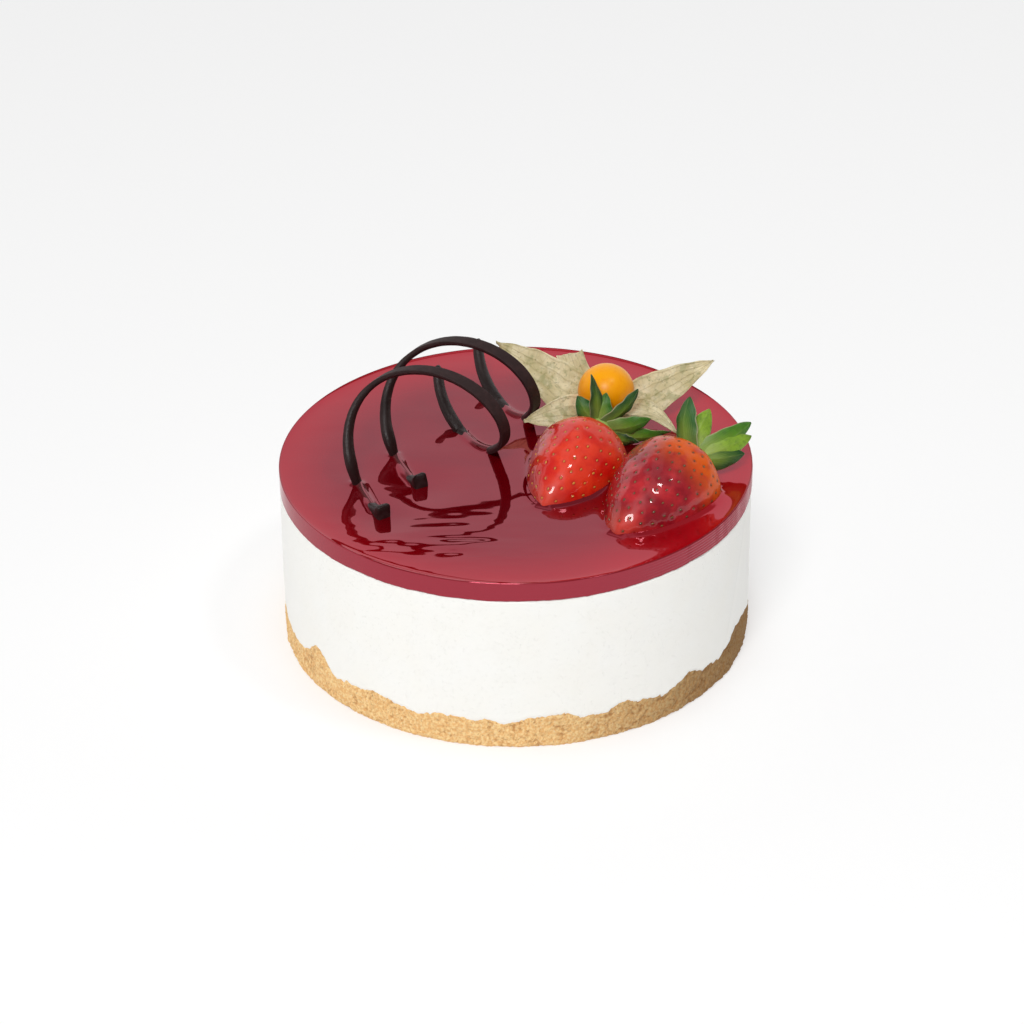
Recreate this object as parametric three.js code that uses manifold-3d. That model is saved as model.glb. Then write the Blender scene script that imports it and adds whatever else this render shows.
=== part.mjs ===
// A round unbaked strawberry cheesecake: biscuit crust, white filling and a set strawberry jelly, topped
// with two spiral chocolate curls, two glazed strawberry halves and a cape gooseberry in its open husk.
// Millimetres, +Z up. The origin is the centre of the underside and the front of the cake faces -Y.
import * as THREE from "three";
import { mergeVertices } from "three/addons/utils/BufferGeometryUtils.js";
import Module from "manifold-3d";

const wasm = await Module();
wasm.setup();

// Driving dimensions of the layers
const cakeRadius = 80;
const crustHeight = 10.6; // mean height of the crust at the side
const crustRipples = [0.5, 0.4]; // heights of two fine ripples along the crust's upper edge
const crustRoughness = 0.45; // depth of the hollows between crumbs in the crust's side
const crustLevelling = 12; // the crust's ragged edge evens out over this width
const fillingTop = 56.7;
const jellyTop = 63;
const rimRise = 0.6; // the jelly climbs this much at its edge
const rimRounding = 0.5;
const meniscusWidth = 4;
const gap = 0.3; // clearance between pieces that touch
const layerSegments = 108;

// Crumbs pressed up the side of the ring: bearing in degrees, rise, half width in degrees
const crustLumps = [
  [-178, 2.4, 11],
  [-147, 5.2, 5],
  [-127, 2, 4],
  [-79, 2.8, 2.5],
  [-64, 2.4, 3],
  [-44, 2.2, 3],
  [-18, 4.4, 9],
  [31, 2.1, 6],
  [63, 1.6, 4],
  [96, 2.6, 5],
  [129, 1.9, 6],
  [153, 2.5, 4],
];

// Chocolate curls: the middle of a ribbon runs round a level axis from one angle to another, in degrees
// from its lowest point, the crown of the loop leans along the axis, and the whole loop has sagged
const curls = [
  {
    name: "chocolate_curl_front",
    foot: [-43.5, -36.3],
    bearing: 58.3,
    radius: 21,
    pitch: 55.8,
    crownLean: -3.4,
    from: -1,
    to: 443,
  },
  {
    name: "chocolate_curl_back",
    foot: [-33.9, -13.5],
    bearing: 56.6,
    radius: 19.8,
    pitch: 56.9,
    crownLean: -1.1,
    from: -12,
    to: 440,
  },
];
const ribbonWidth = 4.4;
const ribbonThickness = 2;
const ribbonHeight = 0.9; // the middle of the ribbon over the jelly at its lowest
const ribbonSteps = 44;
const curlSag = 0.2; // the share of its height that each point of a loop has sunk
const curlLean = [-0.06, 1.84]; // how far it has leant over for each millimetre sunk
const curlRest = 0.7; // the middle of the ribbon over the jelly where it has sunk down to lie on it
// Where the ribbon lies on the jelly: middles and half widths in degrees from its start, and depths
const curlDips = [
  { middle: 33, halfWidth: 20, depth: 4.2 },
  { middle: 355, halfWidth: 22, depth: 3.6 },
];
const blockSwell = { width: 0.12, thickness: 1.5 }; // shares by which the ribbon's start is broader
const blockRise = 0.5;
const blockLength = 9; // in degrees
const tailTaper = 0.3; // the ribbon narrows to half over this last part of its turn, in radians

// Strawberry halves lie with the cut face down: yaw is the way from tip to calyx, and shoulder and taper
// are the powers of the outline, which is blunt at the calyx and drawn out at the tip
const strawberries = [
  {
    name: "left",
    tip: [8.9, -31.7],
    yaw: 65.5,
    length: 43.2,
    width: 32.6,
    shoulder: 0.28,
    taper: 0.68,
  },
  {
    name: "right",
    tip: [32.6, -49.7],
    yaw: 58.2,
    length: 44,
    width: 35.8,
    shoulder: 0.15,
    taper: 0.59,
  },
];
const seedSpacing = { around: 8, along: 6 };
const seedSize = { length: 1.7, width: 1.1, height: 0.45, root: 0.75 };

// Sepals, by where their tips are from the middle of the calyx: the way round the fruit's axis, where 0 is
// level and 90 is up, the angle raised towards the axis, and the reach, then their width, their roll about
// their length, and how far their middle sweeps to one side
const sepals = {
  left: [
    { around: 77, raised: 9, reach: 19.7, width: 6, roll: 55, sweep: 0 },
    { around: 53, raised: 3, reach: 13.8, width: 7, roll: 15, sweep: 0 },
    { around: 93, raised: 22, reach: 13, width: 7, roll: 0, sweep: 0 },
    { around: 128, raised: 31, reach: 19.2, width: 6.4, roll: 40, sweep: 0 },
    { around: 163, raised: 19, reach: 18.2, width: 7, roll: 10, sweep: 0 },
    { around: 185, raised: 29, reach: 24.6, width: 6, roll: 15, sweep: 0 },
    { around: 196, raised: 16, reach: 14.3, width: 5, roll: 0, sweep: 0 },
    { around: -4, raised: 15, reach: 14, width: 6, roll: 0, sweep: 0 },
  ],
  right: [
    { around: 78, raised: 21, reach: 20.9, width: 10.5, roll: -10, sweep: 0 },
    { around: 96, raised: 39, reach: 18.2, width: 9, roll: 15, sweep: 0 },
    { around: 148, raised: 53, reach: 25, width: 9.5, roll: 10, sweep: 0 },
    { around: 161, raised: 46, reach: 22.8, width: 9, roll: -15, sweep: 0 },
    { around: 176, raised: 36, reach: 19, width: 8.6, roll: -20, sweep: 0 },
    { around: 10, raised: 15, reach: 15, width: 7, roll: 0, sweep: 0 },
  ],
};
const calyxMiddle = { past: 4, over: 5 }; // past the fruit's end, and over the jelly
const sepalThickness = 0.7;
const sepalRoot = 3.4; // distance of a sepal's root from the middle
const sepalBow = 0.1; // sag of a sepal's middle, as a share of its reach
const sepalCup = 0.3; // rise of a sepal's long edges over its middle, as a share of its half width
const sepalWave = 0.4; // height of the waves along a sepal's edges
const calyxCap = { radius: 4.6, height: 4.2 };
const stalkStub = { radius: 1.3, length: 8 };

const gooseberry = { centre: [31.2, 26, 12], radius: 9.7, squash: 0.97 };

// Husk lobes, from under the fruit to their tips. Roll turns a lobe about its length, arch bows it upwards
// and tipShare is the width left at a blunt tip.
const huskLobes = [
  { bearing: 153, reach: 42, rise: 19.5, width: 20, roll: -38, arch: 1.5, tipShare: 0.05 },
  { bearing: 125, reach: 21.5, rise: 15, width: 18, roll: 0, arch: -2, tipShare: 0.6 },
  { bearing: 200, reach: 30, rise: 4.4, width: 16, roll: -38, arch: 2, tipShare: 0.1 },
  { bearing: 19, reach: 39.5, rise: 15, width: 17.5, roll: 38, arch: 0.5, tipShare: 0.05 },
  { bearing: -36, reach: 30, rise: 3, width: 11, roll: 10, arch: 6.5, tipShare: 0.08 },
];
const huskThickness = 0.7;
const huskCup = 0.22; // rise of a lobe's long edges over its middle, as a share of its half width
const huskWave = 0.6; // height of the waves at a lobe's tip
const huskSeat = { radius: 6, height: 2.6 };

const fullTurn = 2 * Math.PI;
const radians = THREE.MathUtils.degToRad;
const zAxis = new THREE.Vector3(0, 0, 1);

// A level unit vector at an angle from +X
function levelVector(angle) {
  return new THREE.Vector3(Math.cos(angle), Math.sin(angle), 0);
}

// A seeded source of random numbers from 0 to 1: the fractional part of a sine's steep slope
function seededRandom(seed) {
  let count = seed;
  return () => {
    count += 1;
    const steep = Math.sin(count * 12.9898) * 43758.5453;
    return steep - Math.floor(steep);
  };
}

function geometryFrom(points, indices) {
  const geometry = new THREE.BufferGeometry();
  geometry.setAttribute("position", new THREE.Float32BufferAttribute(points.flatMap((p) => p.toArray()), 3));
  geometry.setIndex(indices);
  return geometry;
}

// A closed skin over a stack of rings with equally many points, closed by a point at each end.
// The rings run anticlockwise about the way from the first end to the last.
function ringStack(firstEnd, rings, lastEnd) {
  const count = rings[0].length;
  const points = [...rings.flat(), firstEnd, lastEnd];
  const first = points.length - 2;
  const last = points.length - 1;
  const top = (rings.length - 1) * count;
  const indices = [];
  for (let j = 0; j < count; j++) {
    const next = (j + 1) % count;
    indices.push(first, next, j, last, top + j, top + next);
    for (let low = 0; low < top; low += count) {
      const high = low + count;
      indices.push(low + j, low + next, high + next, low + j, high + next, high + j);
    }
  }
  return geometryFrom(points, indices);
}

// A thin leaf over the middle surface point(t, v): t runs from root to tip, v from -1 to 1 across it.
// Both faces are split into the same triangles.
function leaf(point, rows, columns, thickness) {
  const step = 0.01;
  const width = columns + 1;
  const faceSize = (rows + 1) * width;
  const points = [];
  for (const side of [0.5, -0.5]) {
    for (let i = 0; i <= rows; i++) {
      for (let j = 0; j <= columns; j++) {
        const t = i / rows;
        const v = (2 * j) / columns - 1;
        const along = point(t + step, v).sub(point(t, v));
        const across = point(t, v + step).sub(point(t, v - step));
        const normal = along.cross(across).normalize();
        points.push(point(t, v).addScaledVector(normal, side * thickness));
      }
    }
  }
  const at = (i, j) => i * width + j;
  const indices = [];
  for (let i = 0; i < rows; i++) {
    for (let j = 0; j < columns; j++) {
      const corners = [at(i, j), at(i + 1, j), at(i + 1, j + 1), at(i, j + 1)];
      const [a, b, c, d] = corners;
      const [e, f, g, h] = corners.map((k) => k + faceSize);
      indices.push(a, b, c, a, c, d, e, g, f, e, h, g);
    }
  }
  const rim = [];
  for (let i = 0; i < rows; i++) rim.push(at(i, 0));
  for (let j = 0; j < columns; j++) rim.push(at(rows, j));
  for (let i = rows; i > 0; i--) rim.push(at(i, columns));
  for (let j = columns; j > 0; j--) rim.push(at(0, j));
  rim.forEach((p, k) => {
    const q = rim[(k + 1) % rim.length];
    indices.push(q, p, p + faceSize, q, p + faceSize, q + faceSize);
  });
  return geometryFrom(points, indices);
}

// How a leaf's half width changes from root to tip, near 1 where it is widest
function leafShare(t, rootShare, tipShare, widest) {
  const opening = Math.sin((Math.PI / 2) * Math.min(1, THREE.MathUtils.lerp(rootShare, 1, t / widest)));
  const closing = Math.max(0, 1 - t ** 2.2) ** 0.9;
  return Math.max(tipShare, opening * closing);
}

function solidOf(geometry) {
  const bare = geometry.clone();
  bare.deleteAttribute("normal");
  bare.deleteAttribute("uv");
  const merged = mergeVertices(bare, 1e-4);
  return new wasm.Manifold(
    new wasm.Mesh({
      numProp: 3,
      vertProperties: merged.getAttribute("position").array,
      triVerts: new Uint32Array(merged.getIndex().array),
    }),
  );
}

function geometryOf(solid) {
  const mesh = solid.getMesh();
  const geometry = new THREE.BufferGeometry();
  geometry.setAttribute("position", new THREE.BufferAttribute(new Float32Array(mesh.vertProperties), 3));
  geometry.setIndex(new THREE.BufferAttribute(new Uint32Array(mesh.triVerts), 1));
  return geometry;
}

// What lies above the jelly, in the frame whose zero is the jelly's surface, without loose scraps of the cut
function aboveJelly(solid) {
  const bodies = solid.trimByPlane([0, 0, 1], gap).decompose();
  return bodies.reduce((best, body) => (body.volume() > best.volume() ? body : best));
}

function namedMesh(name, geometry, material) {
  const mesh = new THREE.Mesh(geometry, material);
  mesh.name = name;
  return mesh;
}

function finish(color, roughness) {
  return new THREE.MeshStandardMaterial({ color, roughness, metalness: 0, flatShading: true });
}

// The three layers

// Height of the crust's ragged upper edge at the side
function crustEdge(angle) {
  let height = crustHeight;
  height += crustRipples[0] * Math.sin(17 * angle + 1.3);
  height += crustRipples[1] * Math.sin(29 * angle + 0.4);
  for (const [bearing, rise, halfWidth] of crustLumps) {
    const away = THREE.MathUtils.euclideanModulo(angle - radians(bearing) + Math.PI, fullTurn) - Math.PI;
    height += rise * Math.exp(-((away / radians(halfWidth)) ** 2));
  }
  return height;
}

// The crust's top evens out from its ragged edge to its mean height inside the cake
function crustSurface(angle, radius) {
  const inside = Math.min(1, (cakeRadius - radius) / crustLevelling);
  return THREE.MathUtils.lerp(crustEdge(angle), crustHeight, inside);
}

function layerRing(radiusAt, heightAt) {
  return Array.from({ length: layerSegments }, (_, j) => {
    const angle = (fullTurn * j) / layerSegments;
    const radius = radiusAt(angle);
    const ringPoint = levelVector(angle).multiplyScalar(radius);
    ringPoint.z = heightAt(angle, radius);
    return ringPoint;
  });
}

// The crust between its underside and its top, within the given rings of its side
function crustBody(sideRings, swell) {
  const rings = [...sideRings];
  for (const inset of [crustRoughness, crustLevelling]) {
    rings.push(
      layerRing(
        () => cakeRadius - inset,
        (angle, radius) => crustSurface(angle, radius) + swell,
      ),
    );
  }
  return ringStack(new THREE.Vector3(0, 0, 0), rings, new THREE.Vector3(0, 0, crustHeight + swell));
}

function crumbBase() {
  const random = seededRandom(11);
  const sideShares = [0, 0.45, 0.88];
  const side = sideShares.map((share) =>
    layerRing(
      () => cakeRadius - crustRoughness * random(),
      (angle) => share * crustEdge(angle),
    ),
  );
  return crustBody(side, 0);
}

// The filling was poured over the crust, so its underside is the crust's top
function filling() {
  const low = crustHeight / 2;
  const wall = [low, fillingTop].map((height) =>
    layerRing(
      () => cakeRadius,
      () => height,
    ),
  );
  const poured = ringStack(new THREE.Vector3(0, 0, low), wall, new THREE.Vector3(0, 0, fillingTop));
  const outside = cakeRadius + 1;
  const side = [0, 1].map((share) =>
    layerRing(
      () => outside,
      (angle, radius) => share * (crustSurface(angle, radius) + gap),
    ),
  );
  return geometryOf(solidOf(poured).subtract(solidOf(crustBody(side, gap))));
}

// The jelly climbs at its edge, where it clung to the ring it set in
function jelly() {
  const underside = fillingTop + gap;
  const outline = [
    [0, underside],
    [0, jellyTop + rimRise - rimRounding],
    [rimRounding, jellyTop + rimRise],
    [meniscusWidth, jellyTop],
  ];
  const rings = outline.map(([inset, height]) =>
    layerRing(
      () => cakeRadius - inset,
      () => height,
    ),
  );
  return ringStack(new THREE.Vector3(0, 0, underside), rings, new THREE.Vector3(0, 0, jellyTop));
}

// The chocolate curls

// A ribbon's section as [outwards, sideways]: flat outside, where it lay when piped, and domed inside
function ribbonSection(width, thickness) {
  const domeSteps = 6;
  const flatFace = 0.45 * thickness;
  return Array.from({ length: domeSteps + 1 }, (_, k) => {
    const turn = (Math.PI * k) / domeSteps;
    return [flatFace - thickness * Math.sin(turn), (width / 2) * Math.cos(turn)];
  });
}

// The middle of a curl's ribbon at an angle from its lowest point, and the way out from the curl's axis.
// Sagging moves each point down and over in proportion to its height, and further at the dips.
function curlPoint(curl, turn) {
  const axis = levelVector(radians(curl.bearing));
  const side = levelVector(radians(curl.bearing) + Math.PI / 2);
  const outward = side.multiplyScalar(Math.sin(turn)).addScaledVector(zAxis, -Math.cos(turn));
  const along = (curl.pitch * turn) / fullTurn + (curl.crownLean * (1 - Math.cos(turn))) / 2;
  const point = new THREE.Vector3(curl.foot[0], curl.foot[1], curl.radius + ribbonHeight)
    .addScaledVector(axis, along)
    .addScaledVector(outward, curl.radius);
  let dip = 0;
  for (const { middle, halfWidth, depth } of curlDips) {
    const away = THREE.MathUtils.radToDeg(turn) - curl.from - middle;
    dip += depth * Math.exp(-((away / halfWidth) ** 2));
  }
  const room = Math.max(0, (1 - curlSag) * point.z - curlRest);
  const sunk = curlSag * point.z + Math.min(dip, room);
  point.add(new THREE.Vector3(...curlLean, -1).multiplyScalar(sunk));
  return { point, outward };
}

function curlSolid(curl, swell) {
  const start = radians(curl.from);
  const end = radians(curl.to);
  const rings = [];
  for (let i = 0; i <= ribbonSteps; i++) {
    const turn = THREE.MathUtils.lerp(start, end, i / ribbonSteps);
    const step = 0.01;
    const { point, outward } = curlPoint(curl, turn);
    const tangent = curlPoint(curl, turn + step).point.sub(curlPoint(curl, turn - step).point).normalize();
    const sideways = tangent.clone().cross(outward).normalize();
    const block = Math.exp(-(((turn - start) / radians(blockLength)) ** 4));
    const taper = Math.min(1, 0.5 + (end - turn) / tailTaper);
    const width = ribbonWidth * (1 + blockSwell.width * block) * taper + 2 * swell;
    const thickness = ribbonThickness * (1 + blockSwell.thickness * block) * taper + 2 * swell;
    point.addScaledVector(zAxis, blockRise * block);
    rings.push(
      ribbonSection(width, thickness).map(([out, across]) =>
        point.clone().addScaledVector(outward, out).addScaledVector(sideways, across),
      ),
    );
  }
  const sumOf = (ring) => ring.reduce((sum, p) => sum.add(p), new THREE.Vector3());
  const middle = (ring) => sumOf(ring).divideScalar(ring.length);
  return solidOf(ringStack(middle(rings[0]), rings, middle(rings[ribbonSteps])));
}

// The strawberry halves

// Radius of a fruit as a share of its greatest one, where s runs from 0 at the calyx to 1 at the tip
function berryShare({ shoulder, taper }, s) {
  const widest = shoulder / (shoulder + taper);
  return (s / widest) ** shoulder * ((1 - s) / (1 - widest)) ** taper;
}

// Places a fruit's own frame, whose z axis runs from tip to calyx, with that axis in the jelly's surface,
// so that the upper half lies over the jelly
function berryPlacement(fruit) {
  const axis = levelVector(radians(fruit.yaw));
  const level = levelVector(radians(fruit.yaw) + Math.PI / 2);
  const middle = new THREE.Vector3(...fruit.tip, 0).addScaledVector(axis, fruit.length / 2);
  return new THREE.Matrix4().makeBasis(level, zAxis, axis).setPosition(middle);
}

function berryBody(fruit, swell) {
  const around = 24;
  const rows = 14;
  const rings = [];
  for (let i = 1; i < rows; i++) {
    const s = 0.5 * (1 + Math.cos((Math.PI * i) / rows));
    const radius = (fruit.width / 2) * berryShare(fruit, s) + swell;
    const height = (0.5 - s) * (fruit.length + 2 * swell);
    rings.push(
      Array.from({ length: around }, (_, j) => {
        const ringPoint = levelVector((fullTurn * j) / around).multiplyScalar(radius);
        ringPoint.z = height;
        return ringPoint;
      }),
    );
  }
  const end = fruit.length / 2 + swell;
  return ringStack(new THREE.Vector3(0, 0, -end), rings, new THREE.Vector3(0, 0, end));
}

// A seed is a pointed lens rooted in the fruit's skin
function seed(fruit, s, angle, swell) {
  const radiusAt = (share) => (fruit.width / 2) * berryShare(fruit, share);
  const radius = radiusAt(s);
  const step = 0.02;
  const slope = (radiusAt(s + step) - radiusAt(s - step)) / (2 * step * fruit.length);
  const outward = levelVector(angle).addScaledVector(zAxis, slope).normalize();
  const across = levelVector(angle + Math.PI / 2);
  const along = outward.clone().cross(across);
  const skin = levelVector(angle).multiplyScalar(radius).addScaledVector(zAxis, (0.5 - s) * fruit.length);
  const at = (out, side, length) =>
    skin.clone().addScaledVector(outward, out).addScaledVector(across, side).addScaledVector(along, length);
  const halfWidth = seedSize.width / 2 + swell;
  const halfLength = seedSize.length / 2 + swell;
  const waist = [at(0, halfWidth, 0), at(0, 0, halfLength), at(0, -halfWidth, 0), at(0, 0, -halfLength)];
  return ringStack(at(-seedSize.root, 0, 0), [waist], at(seedSize.height + swell, 0, 0));
}

// Seeds lie in rows round the fruit, each row turned by the golden angle against the last
function berrySeeds(fruit, swell) {
  const goldenAngle = Math.PI * (3 - Math.sqrt(5));
  const firstRow = 0.13;
  const lastRow = 0.92;
  const rows = Math.round(((lastRow - firstRow) * fruit.length) / seedSpacing.along);
  const seeds = [];
  for (let row = 0; row <= rows; row++) {
    const s = THREE.MathUtils.lerp(firstRow, lastRow, row / rows);
    const count = Math.round((Math.PI * fruit.width * berryShare(fruit, s)) / seedSpacing.around);
    for (let k = 0; k < count; k++) {
      seeds.push(seed(fruit, s, (fullTurn * k) / count + row * goldenAngle, swell));
    }
  }
  return seeds;
}

function strawberrySolid(fruit, swell) {
  const placement = berryPlacement(fruit);
  const pieces = [berryBody(fruit, swell), ...berrySeeds(fruit, swell)];
  return wasm.Manifold.union(pieces.map((piece) => solidOf(piece.applyMatrix4(placement))));
}

// A sepal in the calyx's frame, from its root beside the middle to its tip
function sepal({ around, raised, reach, width, roll, sweep }, phase, swell) {
  const spread = levelVector(radians(around));
  const root = spread.clone().multiplyScalar(sepalRoot);
  const tip = spread
    .clone()
    .multiplyScalar(reach * Math.cos(radians(raised)))
    .addScaledVector(zAxis, reach * Math.sin(radians(raised)));
  const direction = tip.clone().sub(root).normalize();
  const facing = levelVector(radians(around) + Math.PI / 2);
  facing.cross(direction).negate().applyAxisAngle(direction, radians(roll));
  const sideways = direction.clone().cross(facing);
  const middleSurface = (t, v) => {
    const half = (width / 2 + swell) * leafShare(t, 0.4, 0.1, 0.6);
    const arc = Math.sin(Math.PI * t);
    const cup = sepalCup * half * v * v;
    const wave = sepalWave * v * Math.sin(6 * t + phase);
    return root
      .clone()
      .lerp(tip, t)
      .addScaledVector(sideways, half * v + sweep * arc)
      .addScaledVector(facing, cup + wave - sepalBow * reach * arc);
  };
  return leaf(middleSurface, 5, 4, sepalThickness + 2 * swell);
}

// The calyx: sepals round a low cap with a short stub of stalk
function calyxSolid(fruit, swell) {
  const { past, over } = calyxMiddle;
  const top = new THREE.Matrix4().makeTranslation(0, over, fruit.length / 2 + past);
  const cap = new THREE.SphereGeometry(calyxCap.radius + swell, 10, 6);
  cap.scale(1, 1, calyxCap.height / calyxCap.radius);
  const stub = new THREE.CylinderGeometry(stalkStub.radius, stalkStub.radius, stalkStub.length, 8);
  stub.rotateX(Math.PI / 2).translate(0, 0, stalkStub.length / 2);
  const leaves = sepals[fruit.name].map((row, k) => sepal(row, k, swell));
  const placement = berryPlacement(fruit).multiply(top);
  return wasm.Manifold.union([cap, stub, ...leaves].map((piece) => solidOf(piece.applyMatrix4(placement))));
}

// The cape gooseberry and its husk

function gooseberryBody(swell) {
  const { centre, radius, squash } = gooseberry;
  return new THREE.SphereGeometry(radius + swell, 22, 13)
    .rotateX(Math.PI / 2)
    .scale(1, 1, squash)
    .translate(...centre);
}

// One papery lobe, from under the fruit out to its tip
function huskLobe({ bearing, reach, rise, width, roll, arch, tipShare }, phase) {
  const outwards = levelVector(radians(bearing));
  const facing = zAxis.clone().applyAxisAngle(outwards, radians(roll));
  const sideways = outwards.clone().cross(facing);
  const middleSurface = (t, v) => {
    const half = (width / 2) * leafShare(t, 0.4, tipShare, 0.4);
    const height = huskSeat.height / 2 + rise * Math.max(0, t) ** 1.3 + arch * Math.sin(Math.PI * t);
    const lift = huskCup * half * v * v + huskWave * t * Math.sin(7 * t + 2.4 * v + phase);
    return new THREE.Vector3(gooseberry.centre[0], gooseberry.centre[1], height)
      .addScaledVector(outwards, reach * t)
      .addScaledVector(sideways, half * v)
      .addScaledVector(facing, lift);
  };
  return leaf(middleSurface, 7, 6, huskThickness);
}

function huskSolid() {
  const seat = new THREE.CylinderGeometry(huskSeat.radius, huskSeat.radius, huskSeat.height, 16);
  seat.rotateX(Math.PI / 2).translate(gooseberry.centre[0], gooseberry.centre[1], gap + huskSeat.height / 2);
  const lobes = huskLobes.map((row, k) => huskLobe(row, 1.7 * k));
  return wasm.Manifold.union([seat, ...lobes].map(solidOf));
}

// The cake, put together from the crust up
const crustFinish = finish(0xcfa878, 0.95);
const fillingFinish = finish(0xf8f6f0, 0.5);
const jellyFinish = finish(0x8e0f22, 0.08);
const chocolateFinish = finish(0x2a1a17, 0.4);
const strawberryFinish = finish(0xc01818, 0.12);
const sepalFinish = finish(0x4f7d1c, 0.45);
const gooseberryFinish = finish(0xf59a0a, 0.25);
const huskFinish = finish(0xc9bd8e, 0.8);

const cake = new THREE.Group();
cake.add(
  namedMesh("crumb_base", crumbBase(), crustFinish),
  namedMesh("cheesecake_filling", filling(), fillingFinish),
  namedMesh("strawberry_jelly", jelly(), jellyFinish),
);

const toppings = new THREE.Group();
toppings.position.z = jellyTop;
cake.add(toppings);
for (const curl of curls) {
  toppings.add(namedMesh(curl.name, geometryOf(aboveJelly(curlSolid(curl, 0))), chocolateFinish));
}

// Soft pieces give way to firm ones: sepals to the fruits, and the husk to the fruits, sepals and curls
const fruitSpaces = strawberries.map((fruit) => strawberrySolid(fruit, gap));
fruitSpaces.push(solidOf(gooseberryBody(gap)));
const fruitSpace = wasm.Manifold.union(fruitSpaces);
for (const [k, fruit] of strawberries.entries()) {
  // The left fruit gives way to the right one, which keeps its form
  const laterFruit = wasm.Manifold.union(fruitSpaces.slice(k + 1));
  const fruitMesh = geometryOf(aboveJelly(strawberrySolid(fruit, 0).subtract(laterFruit)));
  const calyxMesh = geometryOf(aboveJelly(calyxSolid(fruit, 0).subtract(fruitSpace)));
  toppings.add(
    namedMesh(`strawberry_${fruit.name}`, fruitMesh, strawberryFinish),
    namedMesh(`calyx_${fruit.name}`, calyxMesh, sepalFinish),
  );
}
const curlSpaces = curls.map((curl) => curlSolid(curl, gap));
const calyxSpaces = strawberries.map((fruit) => calyxSolid(fruit, gap));
const firmSpace = wasm.Manifold.union([fruitSpace, ...curlSpaces, ...calyxSpaces]);
toppings.add(
  namedMesh("gooseberry", gooseberryBody(0), gooseberryFinish),
  namedMesh("gooseberry_husk", geometryOf(aboveJelly(huskSolid().subtract(firmSpace))), huskFinish),
);

export default cake;
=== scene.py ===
import itertools

import bpy
import numpy as np
from mathutils import Matrix, Vector


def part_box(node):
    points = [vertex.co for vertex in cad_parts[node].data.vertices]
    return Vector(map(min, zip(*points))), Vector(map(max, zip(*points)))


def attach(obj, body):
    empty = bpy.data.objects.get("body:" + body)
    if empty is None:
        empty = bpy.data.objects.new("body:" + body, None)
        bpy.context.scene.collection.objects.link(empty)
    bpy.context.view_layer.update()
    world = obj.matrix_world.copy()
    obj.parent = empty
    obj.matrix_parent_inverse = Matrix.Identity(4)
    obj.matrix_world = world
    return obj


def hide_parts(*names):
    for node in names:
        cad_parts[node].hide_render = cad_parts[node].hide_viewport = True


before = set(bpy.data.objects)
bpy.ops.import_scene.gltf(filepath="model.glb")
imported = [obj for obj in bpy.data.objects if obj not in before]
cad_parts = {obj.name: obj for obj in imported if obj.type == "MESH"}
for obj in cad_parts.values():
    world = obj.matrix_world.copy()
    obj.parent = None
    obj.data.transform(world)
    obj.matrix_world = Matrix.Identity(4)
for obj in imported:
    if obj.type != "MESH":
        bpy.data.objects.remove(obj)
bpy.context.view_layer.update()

# The crust: biscuit crumbs pressed into the bottom of the ring. They cling to its side in a ragged
# edge that the filling was poured over, and each crumb at the side stands out in low relief.
MM = 0.001  # the sizes in this file are in millimetres
TURN = 2 * np.pi
UP = np.array([0.0, 0.0, 1.0])
CAKE_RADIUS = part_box("cheesecake_filling")[1].x / MM
CRUST_HEIGHT = 10.6
CRUST_LUMPS = [  # bearing in degrees, rise, half width in degrees
    (-178, 2.4, 11), (-147, 5.2, 5), (-127, 2, 4), (-79, 2.8, 2.5), (-64, 2.4, 3), (-44, 2.2, 3),
    (-18, 4.4, 9), (31, 2.1, 6), (63, 1.6, 4), (96, 2.6, 5), (129, 1.9, 6), (153, 2.5, 4),
]
CRUST_COLUMNS = 1400
CRUST_ROWS = 34
CRUMB_SIZES = [(3.0, 0.14), (1.2, 0.2), (0.65, 0.16)]  # width of the crumbs, and how far they stand out
GRAIN_MEAN = 0.45  # of the height of packed grains
CRUST_INSET = 0.15  # the crumbs' mean stands this far inside the ring's radius
CRUST_TUCK = (1.5, 1.6)  # how far the side draws in behind the filling, and how far it goes on there
CRUST_FOOT = (0.6, 0.9)  # how far the foot is rounded in, and how high
CRUST_CORE = 9  # the flat underside's inner ring stands this far inside the cake's radius


def level(angle):
    """Level unit vectors (cos, sin, 0) at angles from +X."""
    return np.stack([np.cos(angle), np.sin(angle), np.zeros_like(angle)], -1)


def full_turn(count):
    """That many angles, spread evenly over a full turn."""
    return np.linspace(0, TURN, count, endpoint=False)


def on_ring(radius, angle, height):
    """Points at a radius from the cake's axis, an angle from +X and a height."""
    return np.asarray(radius)[..., None] * level(angle) + np.asarray(height)[..., None] * UP


def smooth_step(value, low, high):
    """3t² - 2t³, where t rises from 0 at low to 1 at high."""
    t = np.clip((value - low) / (high - low), 0, 1)
    return t * t * (3 - 2 * t)


def bell(distance, width):
    """exp(-(d/w)²)."""
    return np.exp(-((distance / width) ** 2))


def hashed(cell, seed):
    """Random numbers from 0 to 1 for whole-number cells: their coordinates times large odd numbers,
    with the high bits mixed into the low ones."""
    mixed = cell @ np.array([374761393, 668265263, 1440662683]) + seed * 974634777 & 0xFFFFFFFF
    mixed = (mixed ^ (mixed >> 13)) * 1274126177 & 0xFFFFFFFF
    return ((mixed ^ (mixed >> 16)) & 0xFFFF) / 0xFFFF


def noise(points, size, seed):
    """Smooth noise from -1 to 1: random values at the corners of cubes of that size, blended across
    each cube by 3t² - 2t³."""
    cell = np.floor(points / size).astype(np.int64)
    weight = smooth_step(points / size - cell, 0, 1)
    total = np.zeros(points.shape[:-1])
    for corner in itertools.product((0, 1), repeat=3):
        nearness = np.where(corner, weight, 1 - weight).prod(-1)
        total += nearness * (2 * hashed(cell + corner, seed) - 1)
    return total


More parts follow.
